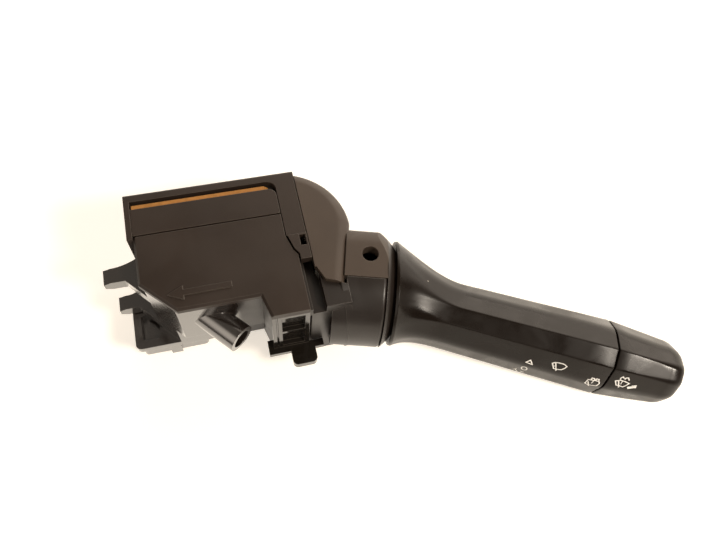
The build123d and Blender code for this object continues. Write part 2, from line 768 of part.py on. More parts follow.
with BuildPart() as detent_plunger:
    along_neck(plunger_nose - cam_r, -plunger_back, plunger_r, height=plunger_height - axis_height)
    nose_base = neck_plane.offset(plunger_nose - cam_r)
    with BuildSketch(nose_base):
        with Locations((0, plunger_height - axis_height)):
            Circle(plunger_r)
    extrude(amount=run_gap / 3 - plunger_nose, taper=42)
save(detent_plunger, "detent_plunger")

with BuildPart() as detent_spring:
    spring_from = -plunger_back
    spring_to = -cheek_behind - 1 - plunger_stroke - 0.1
    coil_start = pivot + neck_axis * (spring_from + detent_wire / 2) + Vector(0, 0, plunger_height - axis_height)
    coil_height = spring_to - spring_from - detent_wire
    coil = Helix(coil_height / spring_turns, coil_height, plunger_r - detent_wire, coil_start, neck_axis)
    with BuildSketch(Plane(origin=coil @ 0, z_dir=coil % 0)):
        Circle(detent_wire / 2)
    sweep(path=coil)
save(detent_spring, "detent_spring")


# ---------------------------------------------------------------- lever core
with BuildPart() as lever_core:
    with BuildSketch(side_plane):
        with BuildLine():
            neck_point = -tail_reach + sqrt(tail_ball_r**2 - tail_r**2)
            ThreePointArc((-tail_reach - tail_ball_r, 0), (-tail_reach, tail_ball_r), (neck_point, tail_r))
            Polyline(
                (neck_point, tail_r),
                (0, tail_r),
                (0, shaft_r),
                (core_reach, shaft_r),
                (core_reach, 0),
                (-tail_reach - tail_ball_r, 0),
            )
        make_face()
    revolve(axis=Axis(pivot, neck_axis))
    with BuildSketch(cross_plane):
        Circle(hub_r)
    extrude(amount=hub_half, both=True)
    with BuildSketch(cross_plane):
        Circle(pull_pin_r + pin_gap)
    extrude(amount=hub_half + 1, both=True, mode=Mode.SUBTRACT)
save(lever_core, "lever_core")


# ---------------------------------------------------------------- sliders and their brushes
with BuildPart() as speed_slider:
    block(slider_x, (slider_front - slider_t, slider_front), slider_z)
    slot_x = (arm_tip[0] - peg_r - run_gap, arm_tip[0] + peg_r + run_gap)
    slot_end = arm_tip[1] + peg_r + 2 * run_gap
    block((slot_x[0] - fork_t, slot_x[1] + fork_t), (arm_tip[1] - fork_reach, slot_end + fork_t), slider_z)
    block(slot_x, (arm_tip[1] - fork_reach - 1, slot_end), slider_z, Mode.SUBTRACT)
save(speed_slider, "speed_slider")

with BuildPart() as speed_brush:
    for i in range(3):
        z = slider_z[0] + 1.2 + 2.1 * i
        block((slider_x[0] + 2, slider_x[0] + 14), (slider_front, slider_front + brush_t), (z, z + 1.2))
save(speed_brush, "speed_brush")

with BuildPart() as wash_slider:
    with BuildSketch(Plane.XY.offset(wash_plate_z)):
        with BuildLine():
            first = cam_angle - swing_down - 8
            last = cam_angle + swing_up + 8
            near, far = tail_reach - tail_ball_r - 0.5, tail_reach + tail_ball_r + 0.5
            inner_arc = ThreePointArc(polar(near, first), polar(near, cam_angle), polar(near, last))
            outer_arc = ThreePointArc(polar(far, first), polar(far, cam_angle), polar(far, last))
            Line(inner_arc @ 0, outer_arc @ 0)
            Line(inner_arc @ 1, outer_arc @ 1)
        make_face()
    extrude(amount=wash_plate_t)
    arm_span = (polar(far, first)[1] - 4, slider_front)
    block(wash_column_x, arm_span, (wash_plate_z, wash_plate_z + wash_plate_t))
    block(wash_column_x, wash_guide_y, (floor_t + wash_travel + run_gap, wash_plate_z))
save(wash_slider, "wash_slider")

with BuildPart() as wash_brush:
    for i in range(2):
        x = wash_column_x[0] + 1 + 3.4 * i
        block((x, x + 1.6), (slider_front, slider_front + brush_t), (wash_plate_z - 4, wash_plate_z + wash_plate_t))
save(wash_brush, "wash_brush")

with BuildPart() as wash_spring:
    coil_height = wash_plate_z - floor_t - spring_wire
    with BuildLine(Plane(origin=(*wash_spring_at, floor_t + spring_wire / 2))) as coil:
        Helix(pitch=coil_height / spring_turns, height=coil_height, radius=wash_spring_r)
    with BuildSketch(Plane(origin=coil.line @ 0, z_dir=coil.line % 0)):
        Circle(spring_wire / 2)
    sweep()
save(wash_spring, "wash_spring")


# ---------------------------------------------------------------- stem and knob
stem_corners = (
    (17.0, -1.6),
    (7.6, 8.2),
    (-1.2, 12.0),
    (-7.3, 9.0),
    (-11.2, 0.0),
    (-10.2, -12.0),
    (8.5, -12.0),
)
stem_rounds = (5.0, 14.0, 1.2, 1.2, 9.0, 2.5, 5.0)


def facing(here, after):
    """Direction in degrees that a side of the section faces, from 0 to 360."""
    return degrees(atan2(here[0] - after[0], after[1] - here[1])) % 360


stem_normals = [facing(*pair) for pair in zip(stem_corners, stem_corners[1:] + stem_corners[:1])]


def stem_scale(along):
    """Size of the stalk's section at a distance along its axis."""
    return flare_scale + (1 - flare_scale) * (along - stem_start) / (stem_split - stem_start)


def section_at(plane, corners, rounds, hollow=1.0):
    """Rounded section through six corners, square to a plane."""
    with BuildSketch(plane) as section:
        with BuildLine():
            Polyline(*[(x * hollow, y * hollow) for x, y in corners], close=True)
        make_face()
        for place, radius in zip(corners, rounds):
            corner = section.vertices().sort_by_distance((place[0] * hollow, place[1] * hollow))[0]
            fillet(corner, radius * hollow)
    return section.sketch


def stem_section(along, scale_by=1.0, hollow=1.0):
    """Faceted section of the stalk, square to its axis."""
    corners = [(x * scale_by, y * scale_by) for x, y in stem_corners]
    return section_at(stem_plane.offset(along), corners, [r * scale_by for r in stem_rounds], hollow)


def flare_section(ahead, share):
    """Section between the round flare (share 1) and the faceted stalk (share 0)."""
    along = (ahead - stem_offset) / cos(radians(stem_bend))
    middle = (pivot + neck_axis * ahead) * share + (stem_origin + stem_axis * along) * (1 - share)
    turn = stem_bend * (1 - share)
    plane = Plane(origin=middle, x_dir=neck_side.rotate(Axis.Z, turn), z_dir=neck_axis.rotate(Axis.Z, turn))
    corners = []
    rounds = []
    before = stem_normals[-1] - 360
    for place, radius, normal in zip(stem_corners, stem_rounds, stem_normals):
        half = (normal - before) / 2
        ring = polar(flare_r / cos(radians(half)), before + half)
        size = stem_scale(along) * (1 - share)
        corners.append((ring[0] * share + place[0] * size, ring[1] * share + place[1] * size))
        rounds.append(flare_r * 0.96 * share + radius * size)
        before = normal
    return section_at(plane, corners, rounds)


with BuildPart() as stem:
    rim_x = neck_reach + mouth_gap
    along_neck(rim_x, rim_x + flare_lip, flare_r)
    sections = [flare_section(ahead, share) for ahead, share in flare_stations]
    sections.append(stem_section(stem_split - seam_gap / 2))
    loft(sections, ruled=True)
    # cup round the neck's ball, and the seat of the inner shaft
    with BuildSketch(side_plane):
        with BuildLine():
            cup_start, cup_mid, cup_end = [(x, sqrt(cup_r**2 - x**2)) for x in (rim_x - 1, cup_r * 0.9, cup_floor)]
            ThreePointArc(cup_start, cup_mid, cup_end)
            Polyline(cup_end, (core_reach, shaft_r), (core_reach, 0), (rim_x - 1, 0), cup_start)
        make_face()
    revolve(axis=Axis(pivot, neck_axis), mode=Mode.SUBTRACT)
    hollow = [
        stem_section(along, stem_scale(along), hollow_share) for along in (core_room, stem_split - end_wall)
    ]
    loft(hollow, ruled=True, mode=Mode.SUBTRACT)
    with BuildSketch(stem_plane.offset(stem_split - end_wall)):
        Circle(bearing_r)
    extrude(amount=end_wall, mode=Mode.SUBTRACT)
save(stem, "stem")

with BuildPart() as end_knob:
    outside = [stem_section(stem_split + seam_gap / 2)]
    outside += [stem_section(stem_tip - back, share) for back, share in knob_stations]
    loft(outside, ruled=True)
    inner_end = stem_tip - knob_wall * 2.5
    loft([stem_section(stem_split, 1.0, hollow_share), stem_section(inner_end, 0.9, hollow_share)], ruled=True, mode=Mode.SUBTRACT)
    with BuildSketch(stem_plane.offset(stem_split + seam_gap / 2)):
        Circle(spindle_r + boss_wall)
    extrude(amount=inner_end - stem_split)
    with BuildSketch(stem_plane.offset(stem_split + seam_gap / 2)):
        Circle(spindle_r)
    extrude(amount=spindle_grip, mode=Mode.SUBTRACT)
save(end_knob, "end_knob")


def disc(builder_plane, start, end, outer, inner=0.0):
    """Ring or disc on the stalk's axis."""
    with BuildSketch(builder_plane.offset(start)) as ring:
        Circle(outer)
        if inner > 0:
            Circle(inner, mode=Mode.SUBTRACT)
    extrude(ring.sketch, amount=end - start)


end_face = stem_split - seam_gap / 2
with BuildPart() as knob_spindle:
    disc(stem_plane, stem_split - end_wall - 1, stem_split + seam_gap / 2 + spindle_grip, spindle_r)
save(knob_spindle, "knob_spindle")

with BuildPart() as end_bearing:
    disc(stem_plane, end_face - bearing_t, end_face, bearing_r, spindle_r + pin_gap)
save(end_bearing, "end_bearing")

with BuildPart() as contact_disc:
    disc(stem_plane, stem_split - end_wall, stem_split - end_wall + disc_t, bearing_r, spindle_r + 0.5)
save(contact_disc, "contact_disc")

with BuildPart() as knob_brush:
    start = stem_split - end_wall + disc_t + run_gap
    disc(stem_plane, start, start + disc_t / 2, spindle_r + 1, spindle_r)
    with BuildSketch(stem_plane.offset(start)):
        with PolarLocations(spindle_r + 1.3, 3):
            Rectangle(2.0, 1.4)
    extrude(amount=disc_t / 2)
save(knob_brush, "knob_brush")
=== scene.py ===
"""Looks of the column stalk switch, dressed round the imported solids.

Metres, in the part's own frame: +Z out of the cover plate, +X along the box towards the lever.
Shapes are worked out in millimetres and turned into metres where a mesh is made.
"""
import json

import bpy
import numpy as np
from mathutils import Matrix, Vector


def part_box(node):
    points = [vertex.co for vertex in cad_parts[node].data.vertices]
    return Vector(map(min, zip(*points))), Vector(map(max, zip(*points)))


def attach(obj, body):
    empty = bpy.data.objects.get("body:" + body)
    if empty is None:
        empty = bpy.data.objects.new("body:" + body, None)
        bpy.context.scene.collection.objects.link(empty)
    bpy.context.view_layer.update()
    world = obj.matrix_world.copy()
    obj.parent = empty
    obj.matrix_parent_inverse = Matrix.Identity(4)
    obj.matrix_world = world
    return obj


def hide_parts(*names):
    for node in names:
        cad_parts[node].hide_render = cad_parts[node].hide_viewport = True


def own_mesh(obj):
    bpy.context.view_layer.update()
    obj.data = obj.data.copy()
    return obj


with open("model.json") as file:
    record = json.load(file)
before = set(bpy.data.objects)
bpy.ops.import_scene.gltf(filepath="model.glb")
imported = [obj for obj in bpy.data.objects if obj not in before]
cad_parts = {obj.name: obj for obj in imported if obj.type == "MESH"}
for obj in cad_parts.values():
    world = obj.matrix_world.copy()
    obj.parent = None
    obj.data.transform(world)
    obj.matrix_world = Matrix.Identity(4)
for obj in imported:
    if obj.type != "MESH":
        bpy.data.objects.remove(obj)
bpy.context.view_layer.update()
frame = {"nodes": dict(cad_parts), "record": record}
MM = 0.001

# ---------------------------------------------------------------- axes of the neck and the stalk
PIVOT = np.array((0.0, 0.0, 20.0))
UP = np.array((0.0, 0.0, 1.0))
NECK_TURN, STALK_BEND = -16.0, -12.0
STALK_OFFSET = 8.0          # along the neck axis, where the stalk's own axis starts


def heading(turn):
    """Unit vectors in plan for turns in degrees from +X: along the turn, and square to it on its left."""
    a = np.radians(turn)
    zero = np.zeros_like(a)
    return np.stack((np.cos(a), np.sin(a), zero), -1), np.stack((-np.sin(a), np.cos(a), zero), -1)


neck_axis, neck_side = heading(NECK_TURN)
stalk_axis, stalk_side = heading(NECK_TURN + STALK_BEND)
stalk_origin = PIVOT + STALK_OFFSET * neck_axis

# ---------------------------------------------------------------- section of the stalk
CORNERS = np.array((
    (17.0, -1.6), (7.6, 8.2), (-1.2, 12.0), (-7.3, 9.0), (-11.2, 0.0), (-10.2, -12.0), (8.5, -12.0)))
ROUNDS = np.array((5.0, 14.0, 1.2, 1.2, 9.0, 2.5, 5.0))
CREASE, FOOT = 3, 5         # corners between which the printed faces lie
ARC_POINTS, SIDE_POINTS = 13, 4
RIM_R, RIM_START, FLARE_START, FLARE_END = 18.6, 20.6, 21.6, 45.0
RIM_ROUND = 0.96            # rounding of the rim's polygon, as a share of the rim's radius
CUP_R, CUP_FLOOR, SHAFT_R = 27.0, 27.4, 5.5
LIP, LIP_MIDDLE = 0.3, 0.09 # rounding of the flare's lip, and how far its middle lies from the two faces
STALK_START, SEAM, SEAM_GAP, TIP = 15.0, 91.5, 0.6, 116.5
BEARING_R, BEARING_ROOM = 6.2, 7.6
START_SIZE, SIZE_GAIN = 0.88, 0.12
KNOB_TAPER = 0.14
NOSE_LENGTH, NOSE_SIZE, NOSE_GAIN = 6.0, 0.56, 0.30
SOFT_ROUND, SOFT_START, SOFT_POWER = 5.5, 99.0, 1.5
EDGE_BACK = np.array((0.0, 0.12, 0.35))         # steps of the rounded edge at the seam, back from its face
EDGE_LOSS = np.array((0.027, 0.008, 0.0))       # size that the section loses at each
KNOB_FACE_SIZE, KNOB_END_SIZE = 0.45, 0.30      # inner rings of the knob's two flat ends


def stalk_scale(along):
    """Size of the stalk's section, growing in a straight line from 0.88 at its start to 1 at the seam."""
    return START_SIZE + SIZE_GAIN * (along - STALK_START) / (SEAM - STALK_START)


def knob_scale(along):
    """Size of the knob's section: a straight taper down from 1, then a quarter of an ellipse to NOSE_SIZE."""
    taper = 1 - KNOB_TAPER * (along - SEAM) / (TIP - NOSE_LENGTH - SEAM)
    way_in = np.clip((TIP - along) / NOSE_LENGTH, 0, 1)
    nose = NOSE_SIZE + NOSE_GAIN * np.sqrt(1 - (1 - way_in) ** 2)
    return np.where(along < TIP - NOSE_LENGTH, taper, nose)


def rounded_rings(places, rounds):
    """Rings of points round a stack of polygons whose corners are arcs.

    An arc's centre lies on the corner's bisector, its radius over the sine of half the corner's angle away,
    and its points are spaced evenly in angle. The straight run to the next corner is divided evenly.
    places is rings x corners x 2 and rounds is rings x corners, both counter-clockwise.
    """
    back = np.roll(places, 1, 1) - places
    ahead = np.roll(places, -1, 1) - places
    back /= np.linalg.norm(back, axis=2, keepdims=True)
    ahead /= np.linalg.norm(ahead, axis=2, keepdims=True)
    half = np.arccos((back * ahead).sum(2)) / 2
    inward = back + ahead
    inward /= np.linalg.norm(inward, axis=2, keepdims=True)
    centre = places + inward * (rounds / np.sin(half))[..., None]
    facing = np.arctan2(-inward[..., 1], -inward[..., 0])
    angle = facing[..., None] + (np.pi / 2 - half)[..., None] * np.linspace(-1, 1, ARC_POINTS)
    arc = centre[..., None, :] + rounds[..., None, None] * np.stack((np.cos(angle), np.sin(angle)), -1)
    share = np.linspace(0, 1, SIDE_POINTS + 2)[1:-1, None]
    run = arc[..., -1:, :] * (1 - share) + np.roll(arc[..., :1, :], -1, 1) * share
    return np.concatenate((arc, run), 2).reshape(len(places), -1, 2)


def in_space(flat, middle, side):
    """Rings drawn across an axis, put in space: the first coordinate goes along side, the second goes up."""
    return middle[:, None, :] + flat[..., :1] * side[:, None, :] + flat[..., 1:] * UP


def facet_normals():
    """Direction in degrees that each flat side of the stalk's section faces."""
    run = np.roll(CORNERS, -1, 0) - CORNERS
    return np.degrees(np.arctan2(-run[:, 0], run[:, 1])) % 360


def flare_rings(ahead):
    """Rings between the round rim and the faceted stalk, at distances along the neck axis.

    The rim's polygon touches a circle at each facet's direction. Its share falls with the square of the way
    left to the stalk, and corners, roundings, middle and turn are all mixed by that share.
    """
    share = np.clip((FLARE_END - ahead) / (FLARE_END - FLARE_START), 0, 1)[:, None] ** 2
    along = ((ahead - STALK_OFFSET) / np.cos(np.radians(STALK_BEND)))[:, None]
    size = stalk_scale(along) * (1 - share)
    normals = facet_normals()
    half = (normals - np.roll(normals, 1)) % 360 / 2
    reach = RIM_R / np.cos(np.radians(half))
    turn = np.radians(normals - half)
    rim = np.stack((reach * np.cos(turn), reach * np.sin(turn)), 1)
    places = rim * share[..., None] + CORNERS * size[..., None]
    rounds = RIM_R * RIM_ROUND * share + ROUNDS * size
    middle = (PIVOT + neck_axis * ahead[:, None]) * share + (stalk_origin + stalk_axis * along) * (1 - share)
    side = heading(NECK_TURN + STALK_BEND * (1 - share[:, 0]))[1]
    return in_space(rounded_rings(places, rounds), middle, side)


def stalk_rings(along, size, soft=0.0):
    """Rings of the stalk's section at distances along its axis, each drawn at its own size.

    Where soft is 1, a corner sharper than SOFT_ROUND is rounded to it, and in between by that share.
    """
    along, size = np.asarray(along, float), np.asarray(size, float)
    rounds = ROUNDS + np.clip(SOFT_ROUND - ROUNDS, 0, None) * (soft + np.zeros_like(along))[:, None]
    flat = rounded_rings(CORNERS * size[:, None, None], rounds * size[:, None])
    middle = stalk_origin + stalk_axis * along[:, None]
    return in_space(flat, middle, np.repeat(stalk_side[None], len(along), 0))


def round_rings(stations, middle, axis, side, ring):
    """Circles about an axis, one for each (distance, radius), with points in the directions of a ring."""
    ring = ring - ring.mean(0)
    flat = np.stack((ring @ side, ring @ UP), 1)
    flat /= np.linalg.norm(flat, axis=1, keepdims=True)
    ahead, radius = np.asarray(stations, float).T
    centres = middle + axis * ahead[:, None]
    return in_space(flat * radius[:, None, None], centres, np.repeat(side[None], len(ahead), 0))


# ---------------------------------------------------------------- making meshes
def new_piece(name, points, faces, body, finish, sharp=34.0):
    """A smooth-shaded mesh that keeps its edges sharper than an angle, riding on a body."""
    mesh = bpy.data.meshes.new(name)
    mesh.from_pydata((np.asarray(points) * MM).tolist(), [], [list(f) for f in faces])
    mesh.validate()
    mesh.polygons.foreach_set("use_smooth", np.ones(len(mesh.polygons), bool))
    mesh.set_sharp_from_angle(angle=np.radians(sharp))
    piece = bpy.data.objects.new(name, mesh)
    bpy.context.scene.collection.objects.link(piece)
    mesh.materials.append(finishes[finish])
    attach(piece, body)
    return piece


def skin_faces(rings, around):
    """Faces of a closed skin: quads between rings, and a fan at each pole.

    The rings run counter-clockwise about the way ahead, and the two pole points follow them.
    """
    i, j = np.meshgrid(np.arange(rings - 1), np.arange(around), indexing="ij")
    k = (j + 1) % around
    this, following = i * around, (i + 1) * around
    quads = np.stack((this + j, this + k, following + k, following + j), -1).reshape(-1, 4)
    j = np.arange(around)
    k = (j + 1) % around
    last = (rings - 1) * around
    start = np.stack((np.full(around, rings * around), k, j), 1)
    end = np.stack((np.full(around, rings * around + 1), last + j, last + k), 1)
    return quads.tolist() + start.tolist() + end.tolist()


def skin(name, rings, start, end, body, finish):
    """A closed skin through stacked rings, from a pole point to a pole point."""
    rings = np.concatenate(rings)
    points = np.concatenate((rings.reshape(-1, 3), [start, end]))
    return new_piece(name, points, skin_faces(*rings.shape[:2]), body, finish)


# ---------------------------------------------------------------- shared effects
def effect(name, inputs, outputs):
    """An empty shader group with named inputs and outputs: gives it and the sockets of its two ends."""
    group = bpy.data.node_groups.new(name, "ShaderNodeTree")
    for label, value in inputs:
        socket = group.interface.new_socket(label, in_out="INPUT", socket_type="NodeSocketFloat")
        socket.default_value = value
    for label, kind in outputs:
        group.interface.new_socket(label, in_out="OUTPUT", socket_type=kind)
    return group, group.nodes.new("NodeGroupInput").outputs, group.nodes.new("NodeGroupOutput").inputs


def node(tree, kind, values=(), **settings):
    """A node with its settings, and its inputs set to values or linked from sockets."""
    made = tree.nodes.new(kind)
    for key, value in settings.items():
        setattr(made, key, value)
    for key, value in dict(values).items():
        if isinstance(value, bpy.types.NodeSocket):
            tree.links.new(value, made.inputs[key])
        else:
            made.inputs[key].default_value = value
    return made


def moulded_grain():
    """Fine spark-eroded grain, as height and as a slow blotchy tone."""
    tree, given, out = effect("moulded_grain", [("Cells", 1400.0), ("Patches", 45.0)],
                              [("Height", "NodeSocketFloat"), ("Tone", "NodeSocketFloat")])
    here = node(tree, "ShaderNodeTexCoord").outputs["Object"]
    fine = node(tree, "ShaderNodeTexNoise", {"Vector": here, "Scale": given["Cells"], "Detail": 3.0,
                                             "Roughness": 0.6})
    slow = node(tree, "ShaderNodeTexNoise", {"Vector": here, "Scale": given["Patches"], "Detail": 4.0})
    tone = node(tree, "ShaderNodeMapRange", {"Value": slow.outputs[0], "From Min": 0.35, "From Max": 0.65})
    tree.links.new(fine.outputs[0], out["Height"])
    tree.links.new(tone.outputs[0], out["Tone"])
    return tree


def edge_wear_and_highlight():
    """Rounded edge normals, and a mask that is 1 where the rounding turns away from the face: it paints the
    edges paler, part wear and part painted highlight.
    """
    tree, given, out = effect("worn_and_highlit_edges", [("Width", 0.0003), ("Gain", 6.0)],
                              [("Mask", "NodeSocketFloat"), ("Normal", "NodeSocketVector")])
    rounding = node(tree, "ShaderNodeBevel", {"Radius": given["Width"]}, samples=6)
    face = node(tree, "ShaderNodeNewGeometry").outputs["Normal"]
    same = node(tree, "ShaderNodeVectorMath", {0: rounding.outputs[0], 1: face}, operation="DOT_PRODUCT")
    away = node(tree, "ShaderNodeMath", {0: 1.0, 1: same.outputs["Value"]}, operation="SUBTRACT")
    mask = node(tree, "ShaderNodeMath", {0: away.outputs[0], 1: given["Gain"]}, operation="MULTIPLY",
                use_clamp=True)
    tree.links.new(mask.outputs[0], out["Mask"])
    tree.links.new(rounding.outputs[0], out["Normal"])
    return tree


def dust_specks():
    """Stray specks: small round cores of scattered cells, kept on a share of the cells only."""
    tree, given, out = effect("dust_specks", [("Cells", 260.0), ("Share", 0.04)],
                              [("Mask", "NodeSocketFloat")])
    here = node(tree, "ShaderNodeTexCoord").outputs["Object"]
    cells = node(tree, "ShaderNodeTexVoronoi", {"Vector": here, "Scale": given["Cells"]})
    core = node(tree, "ShaderNodeMapRange", {"Value": cells.outputs["Distance"], "From Min": 0.10,
                                             "From Max": 0.05})
    pick = node(tree, "ShaderNodeSeparateColor", {"Color": cells.outputs["Color"]})
    kept = node(tree, "ShaderNodeMath", {0: pick.outputs[0], 1: given["Share"]}, operation="LESS_THAN")
    mask = node(tree, "ShaderNodeMath", {0: core.outputs[0], 1: kept.outputs[0]}, operation="MULTIPLY")
    tree.links.new(mask.outputs[0], out["Mask"])
    return tree


def hand_polish():
    """Where fingers have worn a satin face smoother: soft stretched blotches."""
    tree, given, out = effect("hand_polish", [("Patches", 70.0)], [("Mask", "NodeSocketFloat")])
    here = node(tree, "ShaderNodeTexCoord").outputs["Object"]
    blotch = node(tree, "ShaderNodeTexNoise", {"Vector": here, "Scale": given["Patches"], "Detail": 3.0,
                                               "Distortion": 0.6})
    mask = node(tree, "ShaderNodeMapRange", {"Value": blotch.outputs[0], "From Min": 0.42, "From Max": 0.66})
    tree.links.new(mask.outputs[0], out["Mask"])
    return tree


grain, wear_and_highlight, specks, polish = moulded_grain(), edge_wear_and_highlight(), dust_specks(), hand_polish()
DUST = (0.55, 0.50, 0.44)
DARKER = 0.82               # darker of a finish's two tones, as a share of its base colour
DULL_ROUGH, DULL_RUN = 0.22, 0.003


def place_effect(tree, group, **values):
    """Put a shared effect in a material, with its own values."""
    used = node(tree, "ShaderNodeGroup", {k.title(): v for k, v in values.items()}, node_tree=group)
    return used.outputs


def mix_colour(tree, factor, first, second):
    """First colour where the factor is 0, second where it is 1."""
    mixed = tree.nodes.new("ShaderNodeMix")
    mixed.data_type = "RGBA"
    sockets = {s.identifier: s for s in mixed.inputs}
    tree.links.new(factor, sockets["Factor_Float"])
    for key, colour in (("A_Color", first), ("B_Color", second)):
        if isinstance(colour, bpy.types.NodeSocket):
            tree.links.new(colour, sockets[key])
        else:
            sockets[key].default_value = (*colour, 1.0)
    return next(s for s in mixed.outputs if s.identifier == "Result_Color")


def finish_of(name, base, pale, rough, specular, metal=0.0, coat=0.0, bend=1.5, film=0.10,
              cells=1400.0, depth=0.00001, patches=45.0, edge=0.6, width=0.0003, share=0.03, dull_from=None):
    """A material of the part: two tones mixed by patches, paler edges that are part wear and part painted
    highlight, stray dust, fine grain, and a roughness that handling lowers from the second value to the
    first.

    coat, bend and film are the clear coat's weight, refractive index and roughness. Over DULL_RUN from the X
    given as dull_from, the coat fades out and the roughness rises by DULL_ROUGH.
    """
    material = bpy.data.materials.new(name)
    material.use_nodes = True
    tree = material.node_tree
    tree.nodes.clear()
    marks = place_effect(tree, grain, cells=cells, patches=patches)
    edges = place_effect(tree, wear_and_highlight, width=width)
    dirt = place_effect(tree, specks, share=share)
    worn = place_effect(tree, polish)
    darker = tuple(c * DARKER for c in base)
    body = mix_colour(tree, marks["Tone"], darker, base)
    # paler edges: part wear, part painted highlight along the rounding
    worn_and_highlit = node(tree, "ShaderNodeMath", {0: edges["Mask"], 1: edge}, operation="MULTIPLY")
    body = mix_colour(tree, worn_and_highlit.outputs[0], body, pale)
    body = mix_colour(tree, dirt["Mask"], body, DUST)
    gloss = node(tree, "ShaderNodeMapRange", {"Value": worn["Mask"], "To Min": rough[1], "To Max": rough[0]})
    relief = node(tree, "ShaderNodeBump", {"Height": marks["Height"], "Distance": depth,
                                           "Normal": edges["Normal"]})
    shader = node(tree, "ShaderNodeBsdfPrincipled", {
        "Base Color": body, "Roughness": gloss.outputs[0], "Normal": relief.outputs[0], "Metallic": metal,
        "Specular IOR Level": specular, "Coat Weight": coat, "Coat Roughness": film, "Coat IOR": bend})
    if dull_from is not None:
        point = node(tree, "ShaderNodeTexCoord").outputs["Object"]
        here = node(tree, "ShaderNodeSeparateXYZ", {"Vector": point})
        left = node(tree, "ShaderNodeMapRange", {"Value": here.outputs["X"], "From Min": dull_from + DULL_RUN,
                                                 "From Max": dull_from, "To Max": coat})
        tree.links.new(left.outputs[0], shader.inputs["Coat Weight"])
        dulled = node(tree, "ShaderNodeMapRange", {"Value": here.outputs["X"], "From Min": dull_from,
                                                   "From Max": dull_from + DULL_RUN, "To Max": DULL_ROUGH})
        rougher = node(tree, "ShaderNodeMath", {0: gloss.outputs[0], 1: dulled.outputs[0]}, operation="ADD")
        tree.links.new(rougher.outputs[0], shader.inputs["Roughness"])
    node(tree, "ShaderNodeOutputMaterial", {"Surface": shader.outputs[0]})
    return material


# name: base, paler edge (part wear, part painted highlight), worn and unworn roughness, specular level, and
# what else the finish has
FINISHES = {
    "case_plastic": ((0.014, 0.010, 0.008), (0.10, 0.085, 0.07), (0.08, 0.16), 0.45, {
        "coat": 1.0, "bend": 2.3, "film": 0.17, "depth": 0.000001, "patches": 30.0, "edge": 0.45,
        "width": 0.00035, "dull_from": -0.036}),
    "plate_plastic": ((0.0235, 0.0155, 0.0112), (0.13, 0.11, 0.09), (0.38, 0.50), 0.35, {
        "depth": 0.000006, "edge": 0.5, "width": 0.0003}),
    # ear_plastic is the shell's plastic with a paler base: a painted highlight for the light that the ear's
    # curve catches
    "ear_plastic": ((0.050, 0.035, 0.025), (0.13, 0.11, 0.09), (0.42, 0.54), 0.40, {
        "depth": 0.000008, "edge": 0.4}),
    "latch_plastic": ((0.010, 0.008, 0.006), (0.09, 0.075, 0.06), (0.08, 0.16), 0.6, {
        "coat": 0.3, "depth": 0.000001, "edge": 0.5}),
    "lever_plastic": ((0.0075, 0.0048, 0.0032), (0.10, 0.085, 0.07), (0.15, 0.35), 0.22, {
        "depth": 0.000007, "cells": 2600.0, "patches": 60.0, "edge": 0.25, "share": 0.015}),
    "bearing_plastic": ((0.60, 0.58, 0.52), (0.80, 0.78, 0.72), (0.34, 0.44), 0.45, {
        "depth": 0.000002, "edge": 0.3}),
    "board_laminate": ((0.34, 0.15, 0.035), (0.55, 0.30, 0.10), (0.55, 0.70), 0.30, {
        "cells": 900.0, "depth": 0.00003, "patches": 600.0, "edge": 0.5, "share": 0.10}),
    "contact_brass": ((0.60, 0.44, 0.20), (0.85, 0.68, 0.38), (0.22, 0.34), 0.50, {
        "metal": 1.0, "depth": 0.000002, "edge": 0.5}),
    "pin_steel": ((0.42, 0.42, 0.43), (0.72, 0.72, 0.72), (0.24, 0.36), 0.50, {
        "metal": 1.0, "depth": 0.000002, "edge": 0.5}),
    "print_white": ((0.95, 0.94, 0.91), (0.95, 0.94, 0.91), (0.50, 0.60), 0.30, {
        "depth": 0.000002, "edge": 0.0, "share": 0.0}),
}
finishes = {name: finish_of(name, *main, **more) for name, (*main, more) in FINISHES.items()}

# ---------------------------------------------------------------- carried-over solids
for part in frame["record"]["subparts"]:
    solid = frame["nodes"][part["node"]]
    solid.data.materials.clear()
    solid.data.materials.append(finishes[part["material_slot"]])

WELD_WITHIN = 0.000001
SMOOTH_UNDER = 22.0         # degrees between two faces


def smooth_round_faces():
    """Modifier tree that welds a solid's triangles and shades it smooth across edges under an angle."""
    tree = bpy.data.node_groups.new("smooth_round_faces", "GeometryNodeTree")
    tree.interface.new_socket("Geometry", in_out="INPUT", socket_type="NodeSocketGeometry")
    tree.interface.new_socket("Geometry", in_out="OUTPUT", socket_type="NodeSocketGeometry")
    given, out = tree.nodes.new("NodeGroupInput"), tree.nodes.new("NodeGroupOutput")
    weld = tree.nodes.new("GeometryNodeMergeByDistance")
    weld.inputs["Distance"].default_value = WELD_WITHIN
    angle = tree.nodes.new("GeometryNodeInputMeshEdgeAngle")
    flat = tree.nodes.new("FunctionNodeCompare")
    flat.data_type, flat.operation = "FLOAT", "LESS_THAN"
    flat.inputs["B"].default_value = np.radians(SMOOTH_UNDER)
    edges = tree.nodes.new("GeometryNodeSetShadeSmooth")
    edges.domain = "EDGE"
    faces = tree.nodes.new("GeometryNodeSetShadeSmooth")
    tree.links.new(given.outputs[0], weld.inputs["Geometry"])
    tree.links.new(weld.outputs[0], edges.inputs["Geometry"])
    tree.links.new(angle.outputs["Unsigned Angle"], flat.inputs["A"])
    tree.links.new(flat.outputs[0], edges.inputs["Shade Smooth"])
    tree.links.new(edges.outputs[0], faces.inputs["Geometry"])
    tree.links.new(faces.outputs[0], out.inputs[0])
    return tree


smoothing = smooth_round_faces()
for solid in frame["nodes"].values():
    solid.modifiers.new("round_faces", "NODES").node_group = smoothing

